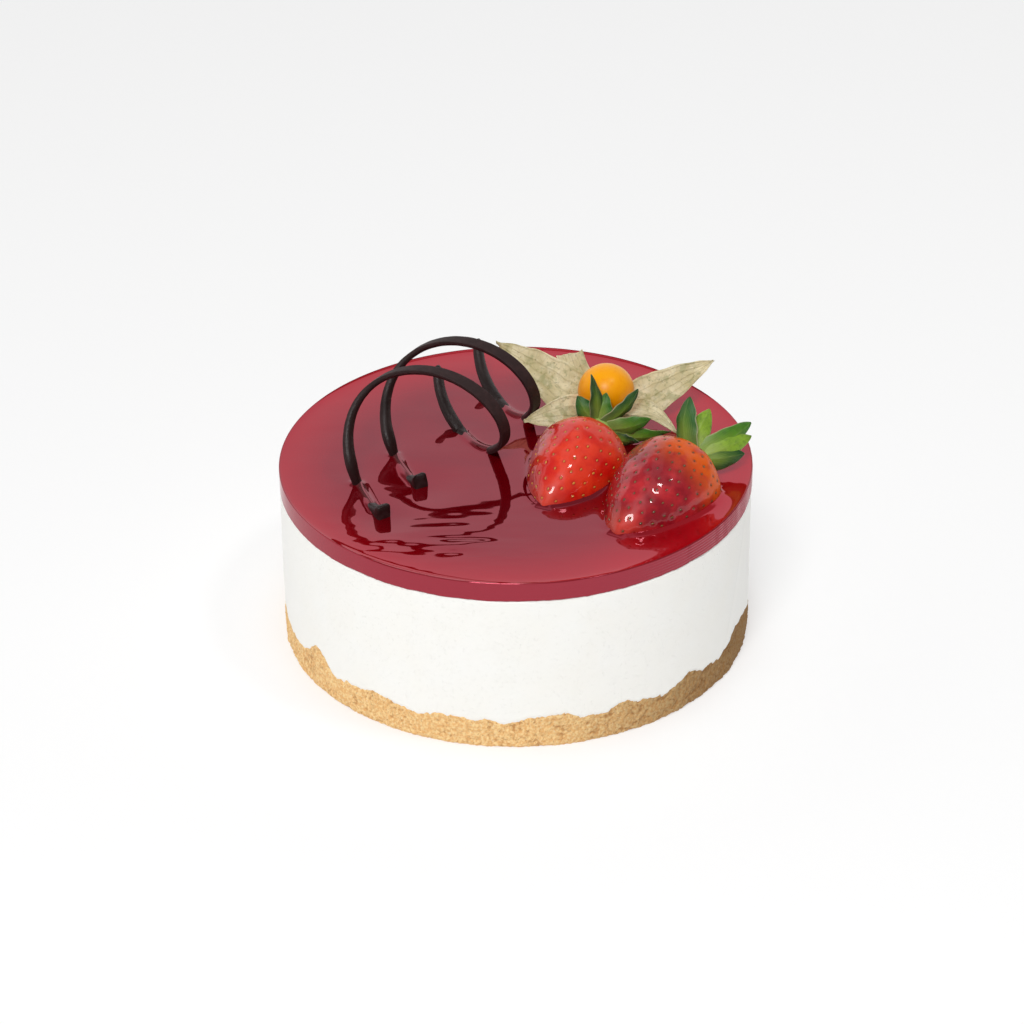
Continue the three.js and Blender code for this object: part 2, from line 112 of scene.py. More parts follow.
def grains(points, size, seed):
    """Height of packed grains, from 0 between them to about 0.8: the greatest of sqrt(r² - d²) over the
    grains around, where r is a grain's random radius and d the distance to its random centre."""
    cell = np.floor(points / size).astype(np.int64)
    height = np.zeros(points.shape[:-1])
    for step in itertools.product((-1, 0, 1), repeat=3):
        near = cell + step
        centre = near + np.stack([hashed(near, seed + k) for k in range(3)], -1)
        radius = 0.45 + 0.4 * hashed(near, seed + 3)
        reach = radius**2 - ((points / size - centre) ** 2).sum(-1)
        height = np.maximum(height, np.sqrt(np.maximum(reach, 0)))
    return height


def crust_edge(angle):
    """Height of the crust's ragged edge: its mean, two fine ripples, a bell for each lump, and noise."""
    height = CRUST_HEIGHT + 0.5 * np.sin(17 * angle + 1.3) + 0.4 * np.sin(29 * angle + 0.4)
    for bearing, rise, half_width in CRUST_LUMPS:
        away = (angle - np.radians(bearing) + np.pi) % TURN - np.pi
        height = height + rise * bell(away, np.radians(half_width))
    around = CAKE_RADIUS * level(angle)
    return height + 0.7 * noise(around, 2.6, 5) + 0.5 * noise(around, 1.1, 6)


def ring_stack(rings, first_end, last_end):
    """Points and faces of a closed skin: rings of points, anticlockwise about the way they climb,
    joined by quads, and a fan to a point at each end."""
    rows, count = rings.shape[:2]
    here = np.arange(count)
    beside = (here + 1) % count
    low = count * np.arange(rows - 1)[:, None]
    quads = np.stack([low + here, low + beside, low + count + beside, low + count + here], -1)
    first = rows * count
    top = first - count
    fans = [
        np.stack([np.full(count, first), beside, here], -1),
        np.stack([np.full(count, first + 1), top + here, top + beside], -1),
    ]
    points = np.concatenate([rings.reshape(-1, 3), [first_end], [last_end]])
    return points, quads.reshape(-1, 4).tolist() + np.concatenate(fans).tolist()


def new_object(name, data):
    """A new object of the scene."""
    made = bpy.data.objects.new(name, data)
    bpy.context.scene.collection.objects.link(made)
    return made


def add_piece(name, points, faces, node, uv=None, shares=None):
    """A smooth piece of the cake made of points in millimetres. It rides on the cake's one body and
    stands for a node. uv is a position along and across the piece for each point, and shares are
    numbers for each point, by name."""
    mesh = bpy.data.meshes.new(name)
    mesh.from_pydata((points * MM).tolist(), [], faces)
    mesh.shade_smooth()
    if uv is not None:
        corner = np.empty(len(mesh.loops), int)
        mesh.loops.foreach_get("vertex_index", corner)
        mesh.uv_layers.new(name="along").data.foreach_set("uv", uv[corner].astype(np.float32).ravel())
    for share_name, values in (shares or {}).items():
        attribute = mesh.attributes.new(share_name, "FLOAT", "POINT")
        attribute.data.foreach_set("value", values.astype(np.float32).ravel())
    piece = new_object(name, mesh)
    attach(piece, "root")
    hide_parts(node)
    return piece


class Wire:
    """An output socket of a material's nodes. Arithmetic on a wire adds Math nodes."""

    def __init__(self, socket):
        self.socket = socket

    def node(self, kind, settings, inputs, output=0):
        """One more node of any type. Its settings are set first, a ramp's stops among them as positions
        with colours, and then its inputs, each a value or a wire."""
        tree = self.socket.id_data
        node = tree.nodes.new("ShaderNode" + kind)
        for name, value in settings.items():
            if name == "stops":
                for extra in value[2:]:
                    node.color_ramp.elements.new(extra[0])
                for element, (position, colour) in zip(node.color_ramp.elements, value):
                    element.position = position
                    element.color = colour
            else:
                setattr(node, name, value)
        for name, value in inputs.items():
            if isinstance(value, Wire):
                tree.links.new(value.socket, node.inputs[name])
            else:
                node.inputs[name].default_value = value
        return Wire(node.outputs[output]) if node.outputs else None

    def math(self, operation, first, second):
        return self.node("Math", {"operation": operation}, {0: first, 1: second})

    def __add__(self, other):
        return self.math("ADD", self, other)

    def __radd__(self, other):
        return self.math("ADD", other, self)

    def __sub__(self, other):
        return self.math("SUBTRACT", self, other)

    def __rsub__(self, other):
        return self.math("SUBTRACT", other, self)

    def __mul__(self, other):
        return self.math("MULTIPLY", self, other)

    def __rmul__(self, other):
        return self.math("MULTIPLY", other, self)

    def __abs__(self):
        return self.math("ABSOLUTE", self, 0)

    def rises(self, low, high):
        """0 below low and 1 above high, with a smooth step between."""
        limits = {"Value": self, "From Min": low, "From Max": high, "To Min": 0, "To Max": 1}
        return self.node("MapRange", {"interpolation_type": "SMOOTHSTEP"}, limits)

    def part(self, axis):
        """One of the three numbers of a position."""
        return self.node("SeparateXYZ", {}, {0: self}, output=axis)

    def away_from(self, point):
        return self.node("VectorMath", {"operation": "DISTANCE"}, {0: self, 1: point}, output=1)

    def mottle(self, size, detail=2):
        """Noise from 0 to 1 at these coordinates, in features of that size."""
        return self.node("TexNoise", {}, {"Vector": self, "Scale": 1 / size, "Detail": detail})

    def relief(self, height):
        """A normal from this as a height field, whose 1 is that many millimetres high."""
        return self.node("Bump", {}, {"Height": self, "Strength": 1, "Distance": height * MM})

    def attribute(self, name):
        return self.node("Attribute", {"attribute_name": name}, {}, output=2)


def paint(red, green, blue):
    """A colour given as it shows on a screen, from 0 to 255, as the linear values of a shader."""
    shown = np.array([red, green, blue]) / 255
    linear = np.where(shown > 0.04045, ((shown + 0.055) / 1.055) ** 2.4, shown / 12.92)
    return (*linear.tolist(), 1)


def layered(colour, layers):
    """A colour with further ones painted over it, each as thick as its share, from 0 to 1."""
    for share, tone in layers:
        colour = share.node("Mix", {"data_type": "RGBA"}, {0: share, 6: colour, 7: paint(*tone)}, output=2)
    return colour


def start_finish(name):
    """A new material, and the wire of its Object coordinates in millimetres."""
    material = bpy.data.materials.new(name)
    material.use_nodes = True
    material.node_tree.nodes.clear()
    metres = Wire(material.node_tree.nodes.new("ShaderNodeTexCoord").outputs["Object"])
    return material, metres.node("Mapping", {}, {"Vector": metres, "Scale": (1 / MM,) * 3})


def finish_piece(pieces, material, surface):
    """Ends a material with its surface and puts it on the pieces."""
    surface.node("OutputMaterial", {}, {"Surface": surface})
    for piece in pieces:
        piece.data.materials.append(material)


angle = full_turn(CRUST_COLUMNS)
edge = crust_edge(angle)
share = np.linspace(0, 1, CRUST_ROWS)[:, None]
height = share * (edge + CRUST_TUCK[1])
wall = on_ring(CAKE_RADIUS, angle, height)
crumbs = 0.2 * noise(wall, 5, 3)
for number, (size, depth) in enumerate(CRUMB_SIZES):
    crumbs = crumbs + depth * (grains(wall, size, 10 * number) / GRAIN_MEAN - 1)
tuck = CRUST_TUCK[0] * smooth_step(height, edge - 0.5, edge + CRUST_TUCK[1])
foot = CRUST_FOOT[0] * (1 - smooth_step(height, 0, CRUST_FOOT[1]))
side = on_ring(CAKE_RADIUS - CRUST_INSET + crumbs - tuck - foot, angle, height)
inner = (CAKE_RADIUS - CRUST_CORE) * level(angle)
rings = np.concatenate([[inner], side, [inner + CRUST_HEIGHT * UP]])
points, faces = ring_stack(rings, 0 * UP, CRUST_HEIGHT * UP)
ends = np.zeros(CRUST_COLUMNS)
relief = np.concatenate([ends, crumbs.ravel(), ends, [0, 0]])
crust = add_piece("crust", points, faces, "crumb_base", shares={"stands_out": relief})

material, place = start_finish("biscuit_crumb")
stands_out = place.attribute("stands_out")
# Painted shade: the crumb is darker in the hollows between the crumbs, where shade falls.
hollow = 1 - stands_out.rises(-0.5, -0.1)
crumb = layered(paint(236, 182, 116), [
    (place.mottle(1.0, 3).rises(0.35, 0.68), (255, 220, 158)),
    (place.mottle(0.55, 1).rises(0.6, 0.72) * 0.6, (248, 226, 184)),
    (place.mottle(0.6, 1).rises(0.62, 0.74) * 0.6, (170, 112, 58)),
    (hollow * 0.7, (186, 128, 70)),
    # Painted shade: the crust grows darker towards its right side, away from the light.
    (place.part(0).rises(0, 78) * 0.78, (114, 74, 26)),
])
grit = place.mottle(0.35, 3).relief(0.12)
surface = place.node("BsdfPrincipled", {}, {"Base Color": crumb, "Roughness": 0.85, "Normal": grit})
finish_piece([crust], material, surface)

# The filling: cream cheese and cream, set cold in the ring. Its side is smooth where the ring's liner
# lay on it, with a few pits of trapped air and faint creases of the liner.
FILLING_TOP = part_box("cheesecake_filling")[1].z / MM
FILLING_COLUMNS = 720
FILLING_ROWS = 60
FILLING_INSET = 0.12  # the filling's side stands this far inside the ring's radius
FILLING_UNDER = (1.1, 2.2)  # how far it draws in behind the crust's edge, and how far it goes on there
FILLING_CORE = 5  # its inner ring stands this far inside the cake's radius
LINER_CREASE = (-32, 0.3)  # its bearing at the foot, and more for each millimetre up, in degrees
CREASE_SIZE = (0.9, 0.22)  # half width in degrees, and depth

angle = full_turn(FILLING_COLUMNS)
edge = crust_edge(angle)
share = np.linspace(0, 1, FILLING_ROWS)[:, None]
low = edge - FILLING_UNDER[1]
height = low + share * (FILLING_TOP - low)
wall = on_ring(CAKE_RADIUS, angle, height)
swell = 0.16 * noise(wall * [1, 1, 0.5], 16, 21) + 0.05 * noise(wall, 4, 22)
under = FILLING_UNDER[0] * (1 - smooth_step(height, edge - 2.0, edge + 0.2))
off_crease = np.degrees(angle - TURN) - LINER_CREASE[0] - LINER_CREASE[1] * height
crease = CREASE_SIZE[1] * bell(off_crease, CREASE_SIZE[0])
side = on_ring(CAKE_RADIUS - FILLING_INSET + swell - under - crease, angle, height)
inner = (CAKE_RADIUS - FILLING_CORE) * level(angle)
underside = (CRUST_HEIGHT - 2) * UP
rings = np.concatenate([[inner + underside], side, [inner + FILLING_TOP * UP]])
points, faces = ring_stack(rings, underside, FILLING_TOP * UP)
filling = add_piece("filling", points, faces, "cheesecake_filling")

material, place = start_finish("cream_cheese")
cream = layered(paint(254, 254, 251), [(place.mottle(14), (252, 250, 243))])
pits = place.mottle(0.8, 1).rises(0.3, 0.36)
skin = (pits * 0.6 + place.mottle(2.5, 3) * 0.4).relief(0.12)
surface = place.node("BsdfPrincipled", {}, {"Base Color": cream, "Roughness": 0.42, "Normal": skin})
finish_piece([filling], material, surface)

# The chocolate curls: tempered dark chocolate piped on film in long ribbons, rolled up to set, and
# pressed into the jelly. The film's side is flat and matt, the inside is domed, and each starts square.
JELLY_TOP = 63
CURLS = {
    "front": {
        "foot": (-43.5, -36.3), "bearing": 58.3, "radius": 21,
        "pitch": 55.8, "crown_lean": -3.4, "turns": (-1, 443),
    },
    "back": {
        "foot": (-33.9, -13.5), "bearing": 56.6, "radius": 19.8,
        "pitch": 56.9, "crown_lean": -1.1, "turns": (-12, 440),
    },
}
RIBBON_WIDTH = 4.1
RIBBON_THICKNESS = 2
RIBBON_EDGES = 0.42  # how far outwards its edges lie from its middle, as a share of its thickness
RIBBON_HEIGHT = 0.9  # the middle of the ribbon over the jelly at its lowest
SAG = 0.2  # the share of its height that each point of a loop has sunk
LEAN = np.array([-0.06, 1.84, -1])  # the way it has leant over as it sank
START_SIZE = (0.3, 1.9)  # how much wider and thicker the ribbon's start is
START_RISE = 0.2
START_LENGTH = 7  # in degrees of the curl's turn
DIPS = [(33, 20, 4.2), (355, 22, 3.6)]  # middle and half width in degrees from the start, and depth
REST = 0.7  # the ribbon's middle over the jelly where it would lie on it
DIP_SINK = (3, 0.8)  # how deep in the jelly it lies there instead, and over what share of the dip
# How wide the ribbon is at degrees of the curl's turn, as a share of its width.
RIBBON_WIDTHS = {0: 0.95, 55: 1.25, 130: 0.9, 180: 1.05, 245: 1.3, 310: 1.1, 350: 0.95, 400: 1.2, 450: 1.1}
TAIL_TAPER = 0.15  # the ribbon narrows to half over this last part of its turn, in radians
BLUNT_START = (0.6, 0.75)  # its end face grows over these degrees from this share, under a square root
BLUNT_END = (0.02, 0.3)  # and its other end shrinks over these radians to this share
RIBBON_ROWS = 520
RIBBON_COLUMNS = 40


def dip_share(curl, turn, middle, half):
    """A bell over one of the places where a curl's ribbon lies in the jelly."""
    return bell(np.degrees(turn) - curl["turns"][0] - middle, half)


def curl_middle(curl, turn):
    """The ribbon's middle at angles from its lowest point, and the way out from the curl's axis: a helix
    round a level axis, whose crown leans along it by (1 - cos t) / 2. It has sagged and leant over in
    proportion to its height over the jelly, and more at each dip, until it lies on the jelly."""
    bearing = np.radians(curl["bearing"])
    axis = level(bearing)
    side = level(bearing + np.pi / 2)
    outward = np.sin(turn)[:, None] * side - np.cos(turn)[:, None] * UP
    along = curl["pitch"] * turn / TURN + curl["crown_lean"] * (1 - np.cos(turn)) / 2
    foot = np.array([*curl["foot"], JELLY_TOP + RIBBON_HEIGHT + curl["radius"]])
    middle = foot + along[:, None] * axis + curl["radius"] * outward
    height = middle[:, 2] - JELLY_TOP
    dips = sum(depth * dip_share(curl, turn, at, half) for at, half, depth in DIPS)
    sunk = SAG * height + np.clip(dips, 0, np.maximum((1 - SAG) * height - REST, 0))
    return middle + sunk[:, None] * LEAN, outward


def ribbon_section(turn, square):
    """A ribbon's section as parts of its thickness outwards and its width sideways: a dome, cos, on the
    inside, and cos to the power 0.2, nearly flat, on the outside, where square is 0. Where it is 1,
    cos and sin are taken to the power 0.4, which makes a block with rounded edges."""
    cosine, sine = np.cos(turn), np.sin(turn)
    outside = RIBBON_EDGES + 0.14 * np.maximum(cosine, 0) ** 0.2
    out = np.where(cosine > 0, outside, RIBBON_EDGES + cosine)
    across = np.sign(sine) * np.abs(sine) ** 0.8 / 2
    block_out = np.sign(cosine) * np.abs(cosine) ** 0.4 / 2
    block_across = np.sign(sine) * np.abs(sine) ** 0.4 / 2
    return out + square * (block_out - out), across + square * (block_across - across)


def curl_piece(name, curl):
    """A curl: the ribbon's section carried along its middle, thicker by 1 / (1 + d⁶) at its square start,
    narrower towards its tail, and uneven by noise, which makes it thin where it is wide."""
    start, end = np.radians(curl["turns"])
    turn = np.linspace(start, end, RIBBON_ROWS)
    middle, outward = curl_middle(curl, turn)
    tangent = np.gradient(middle, axis=0)
    tangent /= np.linalg.norm(tangent, axis=1, keepdims=True)
    sideways = np.cross(tangent, outward)
    under = sum(dip_share(curl, turn, at, half * DIP_SINK[1]) for at, half, _ in DIPS)
    middle = middle - DIP_SINK[0] * under[:, None] * UP
    start_block = 1 / (1 + ((turn - start) / np.radians(START_LENGTH)) ** 6)
    middle = middle + START_RISE * start_block[:, None] * UP
    taper = np.minimum(1, 0.5 + 0.5 * (end - turn) / TAIL_TAPER)
    blunt = np.sqrt(np.clip((turn - start) / np.radians(BLUNT_START[0]), BLUNT_START[1], 1))
    blunt = blunt * np.clip((end - turn) / BLUNT_END[0], BLUNT_END[1], 1)
    uneven = 1 + 0.05 * noise(middle, 9, 31) + 0.02 * noise(middle, 3, 32)
    broad = np.interp(np.degrees(turn), list(RIBBON_WIDTHS), list(RIBBON_WIDTHS.values()))
    width = RIBBON_WIDTH * broad * (1 + START_SIZE[0] * start_block) * taper * blunt * uneven
    thickness = RIBBON_THICKNESS * (1 + START_SIZE[1] * start_block) * taper * blunt * (2 - uneven)
    out, across = ribbon_section(full_turn(RIBBON_COLUMNS), start_block[:, None])
    rings = (
        middle[:, None]
        + outward[:, None] * (out * thickness[:, None])[..., None]
        + sideways[:, None] * (across * width[:, None])[..., None]
    )
    rings = rings + 0.04 * noise(rings, 1.6, 33)[..., None] * outward[:, None]
    points, faces = ring_stack(rings, rings[0].mean(0), rings[-1].mean(0))
    inside = np.append(RIBBON_EDGES - out, [0, 0])
    node = f"chocolate_curl_{name}"
    return add_piece(f"curl_{name}", points, faces, node, shares={"inside": inside})


curl_pieces = [curl_piece(name, curl) for name, curl in CURLS.items()]

material, place = start_finish("dark_chocolate")
inside = place.attribute("inside").rises(0.1, 0.5)
bloom = place.mottle(3, 3).rises(0.4, 0.7)
dark = layered(paint(40, 20, 20), [(bloom, (50, 28, 28)), (inside, (34, 17, 16))])
gloss = 0.56 - inside * 0.24 + place.mottle(0.7) * 0.1
grain = (place.mottle(0.45) * (0.35 + inside * 0.9) + place.mottle(2.2) * 0.4).relief(0.14)
inputs = {"Base Color": dark, "Roughness": gloss, "Normal": grain, "Specular IOR Level": 0.32}
finish_piece(curl_pieces, material, place.node("BsdfPrincipled", {}, inputs))

# The strawberry halves: fruits cut along their length, laid with the cut face down and brushed with
# clear glaze. Each seed sits in a dimple of the skin, and the glaze smooths the dimples over.
BERRIES = {
    "left": {
        "tip": (8.9, -31.7), "yaw": 65.5, "length": 43.2, "width": 32.6,
        "shoulder": 0.28, "taper": 0.68, "seed_spacing": 4.4,
    },
    "right": {
        "tip": (32.6, -49.7), "yaw": 58.2, "length": 44, "width": 35.8,
        "shoulder": 0.15, "taper": 0.59, "seed_spacing": 4.1,
    },
}
BERRY_SINK = 0.6  # the cut face lies this far in the jelly
CUT_OVERLAP = 0.12  # the skin turns this far past the cut, in radians, and is then cut flat
BERRY_COLUMNS = 240
BERRY_ROWS = 190
SEED_SIZE = np.array([0.35, 0.22, 0.56])  # half its width, height and length
SEED_SIDES = 7
SEED_ENDS = (0.06, 0.985)  # the seeds lie between these shares of the fruit's length
DIMPLE_DEPTH = 0.16
DIMPLE_RADIUS = 0.95
GOLDEN_ANGLE = np.pi * (3 - np.sqrt(5))


def berry_radius(berry, share):
    """Radius of a fruit at shares of its length from the calyx: s to the power of its shoulder times
    1 - s to the power of its taper, over that product's greatest value."""
    widest = berry["shoulder"] / (berry["shoulder"] + berry["taper"])
    outline = (share / widest) ** berry["shoulder"] * ((1 - share) / (1 - widest)) ** berry["taper"]
    return berry["width"] / 2 * outline


def berry_frame(berry):
    """The fruit's own directions, level, upward and from tip to calyx, as rows, and the middle of its
    axis, which lies in the jelly's surface."""
    yaw = np.radians(berry["yaw"])
    axis = level(yaw)
    middle = np.array([*berry["tip"], JELLY_TOP]) + berry["length"] / 2 * axis
    return np.stack([level(yaw + np.pi / 2), UP, axis]), middle


def berry_skin(berry, share, around):
    """Points and outward normals of the fruit's skin in its own frame, where z runs from tip to calyx."""
    step = 1e-4
    radius = berry_radius(berry, share)
    growth = berry_radius(berry, share + step) - berry_radius(berry, share - step)
    slope = growth / (2 * step * berry["length"])
    spoke = level(around)
    skin = radius[..., None] * spoke + ((0.5 - share) * berry["length"])[..., None] * UP
    normal = spoke + slope[..., None] * UP
    return skin, normal / np.linalg.norm(normal, axis=-1, keepdims=True)


def seed_places(berry, seed):
    """Shares of the length and angles of evenly spread seeds: equal steps of the skin's area, each turned
    by the golden angle, with a little chance."""
    share = np.linspace(0.001, 0.999, 2000)
    radius = berry_radius(berry, share)
    bands = TURN * radius * np.hypot(berry["length"], np.gradient(radius, share)) * (share[1] - share[0])
    area = np.cumsum(bands)
    count = int(area[-1] / berry["seed_spacing"] ** 2 * 1.1)
    random = np.random.default_rng(seed)
    steps = (np.arange(count) + 0.5 + random.uniform(-0.25, 0.25, count)) / count
    found = np.interp(steps * area[-1], area, share)
    around = (np.arange(count) * GOLDEN_ANGLE + random.uniform(-0.06, 0.06, count)) % TURN
    keep = (found > SEED_ENDS[0]) & (found < SEED_ENDS[1]) & (np.sin(around) > 0.03)
    return found[keep], around[keep]


def berry_piece(name, berry, seed):
    """The half fruit: half a turn of its outline about its axis, made uneven by noise, with a bell-shaped
    dimple at each seed. Each ring closes across the flat cut face. Returns the skin, and its seeds'
    places and normals."""
    rows = np.arange(1, BERRY_ROWS)[:, None] / BERRY_ROWS
    share = 0.5 * (1 + np.cos(np.pi * rows)) + np.zeros(BERRY_COLUMNS)
    around = np.linspace(-CUT_OVERLAP, np.pi + CUT_OVERLAP, BERRY_COLUMNS) + np.zeros_like(share)
    skin, normal = berry_skin(berry, share, around)
    seed_share, seed_angle = seed_places(berry, seed)
    seeds, seed_normals = berry_skin(berry, seed_share, seed_angle)

    def lumps(points):
        return 0.4 * noise(points, 10, seed) + 0.2 * noise(points, 4.6, seed + 1)

    distance = np.full(share.shape, 99.0)
    for point in seeds:
        distance = np.minimum(distance, np.linalg.norm(skin - point, axis=-1))
    dimple = bell(distance, DIMPLE_RADIUS)
    lift = lumps(skin) - DIMPLE_DEPTH * dimple
    rings = skin + lift[..., None] * normal
    rings[..., 1] = np.maximum(rings[..., 1], -BERRY_SINK)
    seeds = seeds + (lumps(seeds) - DIMPLE_DEPTH)[:, None] * seed_normals
    directions, middle = berry_frame(berry)
    ends = np.array([[0, -BERRY_SINK, -berry["length"] / 2], [0, -BERRY_SINK, berry["length"] / 2]])
    points, faces = ring_stack(rings, *ends)
    points = points @ directions + middle
    shares = {"from_calyx": np.append(share, [1, 0]), "in_dimple": np.append(dimple, [0, 0])}
    shares["to_left"] = np.append(np.cos(around), [0, 0])
    node = f"strawberry_{name}"
    piece = add_piece(f"berry_{name}", points, faces, node, shares=shares)
    return piece, seeds @ directions + middle, seed_normals @ directions


def joined(parts):
    """Several (points, faces, ...) as one, with further arrays joined end to end."""
    offsets = np.cumsum([0] + [len(part[0]) for part in parts[:-1]]).tolist()
    faces = [[k + offset for k in face] for offset, part in zip(offsets, parts) for face in part[1]]
    rest = [np.concatenate([part[k] for part in parts]) for k in range(2, len(parts[0]))]
    return np.concatenate([part[0] for part in parts]), faces, *rest


def seed_piece(name, berry, places, normals, seed):
    """The seeds: one pointed drop, a sphere narrowed towards its upper end, copied to each place, where
    it lies along the skin from calyx to tip."""
    rows = np.linspace(0, np.pi, SEED_SIDES)[1:-1]
    ring = level(full_turn(SEED_SIDES))
    narrow = np.sin(rows) ** 1.2 * (1 - 0.25 * np.cos(rows))
    drop = np.stack([r * ring - np.cos(row) * UP for r, row in zip(narrow, rows)])
    drop_points, drop_faces = ring_stack(drop, [0, 0, -1], [0, 0, 1])
    drop_points = drop_points * SEED_SIZE
    axis = berry_frame(berry)[0][2]
    across = np.cross(normals, axis)
    across /= np.linalg.norm(across, axis=1, keepdims=True)
    along = np.cross(across, normals)
    turns = np.stack([across, normals, along], 1)
    random = np.random.default_rng(seed)
    size = random.uniform(0.85, 1.12, len(places))
    copies = size[:, None, None] * (drop_points @ turns) + places[:, None]
    points, faces = joined([(copy, drop_faces) for copy in copies])
    tone = np.repeat(random.uniform(0, 1, len(places)), len(drop_points))
    node = f"strawberry_{name}"
    return add_piece(f"seeds_{name}", points, faces, node, shares={"tone": tone})


BERRY_LOOKS = {  # skin at its ripest and its palest, the shoulder at the calyx, its edge, and the seeds
    "left": [(206, 18, 10), (228, 54, 24), (214, 58, 20), (204, 60, 36), (214, 140, 44)],
    "right": [(142, 2, 24), (192, 34, 42), (220, 92, 0), (232, 204, 130), (84, 60, 26)],
}
for number, (name, berry) in enumerate(BERRIES.items()):
    skin_piece, places, normals = berry_piece(name, berry, 40 + 10 * number)
    seeds = seed_piece(name, berry, places, normals, 60 + number)
    ripe, palest, shoulder, collar, seed_tone = BERRY_LOOKS[name]

    material, place = start_finish(f"strawberry_skin_{name}")
    from_calyx = place.attribute("from_calyx")
    to_left = place.attribute("to_left")
    streaks = place.mottle(5).rises(0.1, 0.5) * (1 - to_left.rises(-0.2, 0.5))
    at_calyx = (1 - from_calyx.rises(0.12, 0.5)) * streaks
    at_edge = 1 - (from_calyx + place.mottle(2.5) * 0.03).rises(0.018, 0.055)
    red = layered(paint(*ripe), [
        (place.mottle(9, 3).rises(0.38, 0.66), palest),
        # Painted shade: the skin is a darker red towards the fruit's left flank.
        (to_left.rises(0.2, 0.9) * 0.55, (132, 2, 12)),
        (at_calyx, shoulder),
        (from_calyx.rises(0.82, 1) * 0.5, (222, 84, 62)),
        (at_edge, collar),
        # Painted shade: the skin is darker in the dimples round the seeds.
        (place.attribute("in_dimple").rises(0.3, 0.9) * 0.4, (110, 10, 10)),
    ])
    glaze = 1 - at_calyx * 0.85
    inputs = {"Base Color": red, "Roughness": 0.4, "Coat Weight": glaze, "Coat Roughness": 0.02}
    inputs |= {"Coat IOR": 1.45, "Specular IOR Level": 0.2, "Subsurface Weight": 0.12}
    inputs |= {"Subsurface Radius": (1, 0.25, 0.1), "Subsurface Scale": 2 * MM}
    finish_piece([skin_piece], material, place.node("BsdfPrincipled", {}, inputs))

    material, place = start_finish(f"strawberry_seed_{name}")
    dry = layered(paint(*seed_tone), [(place.attribute("tone") * 0.6, (140, 96, 34))])
    inputs = {"Base Color": dry, "Roughness": 0.5, "Coat Weight": 0.4, "Coat Roughness": 0.05}
    finish_piece([seeds], material, place.node("BsdfPrincipled", {}, inputs))

# The calyxes: the green leaves left on each half, thin and folded along their middle rib, with the cap
# that they grow from and a stub of the stalk.
# The last column is painted light and shade: lighter green for a lit sepal, darker for one in shadow.
SEPALS = {  # around, raised, reach, width, roll, and how light its green is
    "left": [
        (77, 9, 19.7, 5.6, 55, 0.04), (53, 3, 13.8, 8, 15, 0.3), (93, 22, 13, 8, 0, 0.4),
        (128, 31, 19.2, 6.8, 40, 0.12), (163, 19, 18.2, 8, 10, 0.45), (185, 29, 24.6, 7, 15, 0.5),
        (196, 16, 14.3, 6, 0, 0.02), (-4, 15, 14, 7, 0, 0.3),
    ],
    "right": [
        (78, 21, 20.9, 11, -10, 0.26), (96, 39, 18.2, 9.6, 15, 0.9), (148, 53, 25, 10, 10, 0.5),
        (161, 46, 22.8, 9.6, -15, 0.85), (176, 36, 19, 9.4, -20, 0.12), (10, 15, 15, 8, 0, 0.3),
    ],
}
CALYX_MIDDLE = (5, 4)  # over the jelly, and past the fruit's end
SEPAL_THICKNESS = 0.5
SEPAL_ROOT = 3.4  # its distance from the calyx's middle
SEPAL_BOW = 0.1  # as a share of its reach
SEPAL_CUP = 0.3  # as a share of its half width
SEPAL_WAVE = 0.4
CALYX_CAP = (4.6, 4.2)  # radius and height
STALK = (1.3, 8)  # radius and length
LEAF_ROWS = 40
LEAF_COLUMNS = 22


def turned(vector, axis, degrees):
    """A vector turned about a unit axis, by Rodrigues' formula."""
    turn = np.radians(degrees)
    along = (vector @ axis) * axis
    return along + np.cos(turn) * (vector - along) + np.sin(turn) * np.cross(axis, vector)


def leaf_width(t, root_share, tip_share, widest, fall):
    """Half width of a leaf as a share of its greatest: a quarter sine that opens as far as it is widest,
    times (1 - t to the 2.2) to a power that sets its fall towards the tip."""
    opening = np.sin(np.pi / 2 * np.minimum(1, root_share + (1 - root_share) * t / widest))
    return np.maximum(tip_share, opening * np.maximum(0, 1 - np.maximum(t, 0) ** 2.2) ** fall)


def leaf_skin(middle, rows, columns, thickness):
    """Points, faces and positions of a thin closed leaf over its middle surface middle(t, v): each face
    lies half a thickness off it along its normal, thinner towards the edges, and a rim joins them."""
    t, v = np.meshgrid(np.linspace(0, 1, rows + 1), np.linspace(-1, 1, columns + 1), indexing="ij")
    step = 0.004
    normal = np.cross(middle(t + step, v) - middle(t - step, v), middle(t, v + step) - middle(t, v - step))
    normal /= np.linalg.norm(normal, axis=-1, keepdims=True)
    half = 0.5 * thickness * (1 - 0.6 * v**4)[..., None] * normal
    points = np.concatenate([(middle(t, v) + half).reshape(-1, 3), (middle(t, v) - half).reshape(-1, 3)])
    size = (rows + 1) * (columns + 1)
    at = np.arange(size).reshape(rows + 1, columns + 1)
    quads = np.stack([at[:-1, :-1], at[1:, :-1], at[1:, 1:], at[:-1, 1:]], -1).reshape(-1, 4)
    rim = np.concatenate([at[:-1, 0], at[-1, :-1], at[:0:-1, -1], at[0, :0:-1]])
    after = np.roll(rim, -1)
    edge_quads = np.stack([after, rim, rim + size, after + size], -1)
    faces = np.concatenate([quads, quads[:, ::-1] + size, edge_quads]).tolist()
    uv = np.stack([np.tile(t.ravel(), 2), np.tile(v.ravel() / 2 + 0.5, 2)], -1)
    return points, faces, uv


